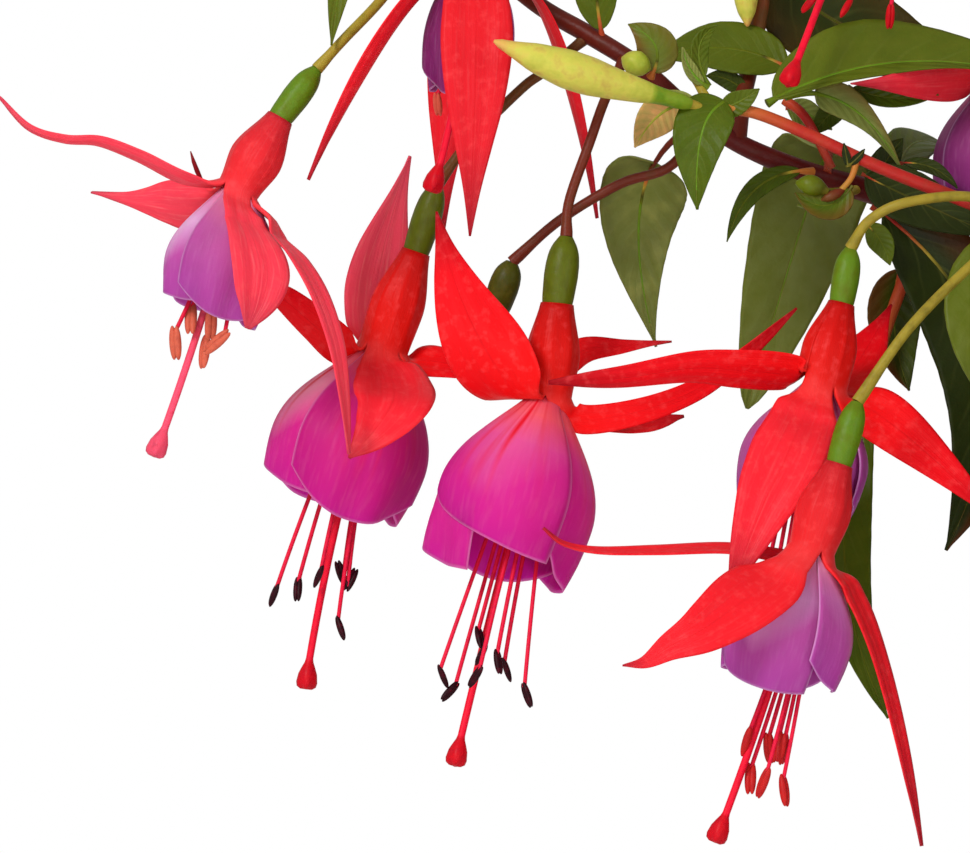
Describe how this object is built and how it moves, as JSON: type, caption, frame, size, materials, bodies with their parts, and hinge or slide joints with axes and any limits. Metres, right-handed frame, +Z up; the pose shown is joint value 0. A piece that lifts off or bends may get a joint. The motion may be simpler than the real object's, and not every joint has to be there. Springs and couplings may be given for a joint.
{
  "type": "fuchsia hanging basket",
  "caption": "Trailing fuchsia with drooping red and purple flowers, planted in a round plastic hanging pot with a wire hanger and hook.",
  "frame": {"origin": "inner top of the hook, where it rests on its bracket", "axes": "+Z up along the hanger, X across the view with the flowering spray on -X, -Y towards the viewer"},
  "size_m": [0.4958, 0.3932, 0.459],
  "materials": {
    "pot": "satin moulded plastic, dark green",
    "soil": "dull, crumbly",
    "wire": "satin, dark green coat over steel wire",
    "foliage": "satin leaf, green",
    "calyx": "satin petal, red",
    "petal_magenta": "soft satin petal, magenta",
    "petal_violet": "soft satin petal, violet"
  },
  "bodies": {
    "root": {"bloom_back_left_outer_calyx": "calyx", "bloom_back_left_outer_corolla": "petal_violet", "bloom_back_right_inner_calyx": "calyx", "bloom_back_right_inner_corolla": "petal_violet", "bloom_back_right_outer_calyx": "calyx", "bloom_back_right_outer_corolla": "petal_violet", "bloom_centre_calyx": "calyx", "bloom_centre_corolla": "petal_magenta", "bloom_edge_calyx": "calyx", "bloom_edge_corolla": "petal_violet", "bloom_front_left_outer_calyx": "calyx", "bloom_front_left_outer_corolla": "petal_violet", "bloom_front_right_inner_calyx": "calyx", "bloom_front_right_inner_corolla": "petal_violet", "bloom_front_right_outer_calyx": "calyx", "bloom_front_right_outer_corolla": "petal_violet", "bloom_high_calyx": "calyx", "bloom_high_corolla": "petal_magenta", "bloom_left_calyx": "calyx", "bloom_left_corolla": "petal_violet", "bloom_low_calyx": "calyx", "bloom_low_corolla": "petal_violet", "bloom_right_calyx": "calyx", "bloom_right_corolla": "petal_violet", "bloom_right_inner_calyx": "calyx", "bloom_right_inner_corolla": "petal_violet", "bloom_right_outer_calyx": "calyx", "bloom_right_outer_corolla": "petal_violet", "bloom_second_calyx": "calyx", "bloom_second_corolla": "petal_magenta", "bloom_top_calyx": "calyx", "bloom_top_corolla": "petal_violet", "hanger_arm_150": "wire", "hanger_arm_270": "wire", "hanger_arm_30": "wire", "hook": "wire", "pot": "pot", "soil": "soil", "stem_back_left": "foliage", "stem_back_right": "foliage", "stem_front_left": "foliage", "stem_front_right": "foliage", "stem_inner_back": "foliage", "stem_inner_front": "foliage", "stem_right": "foliage", "stem_spray": "foliage"}
  },
  "joints": []
}
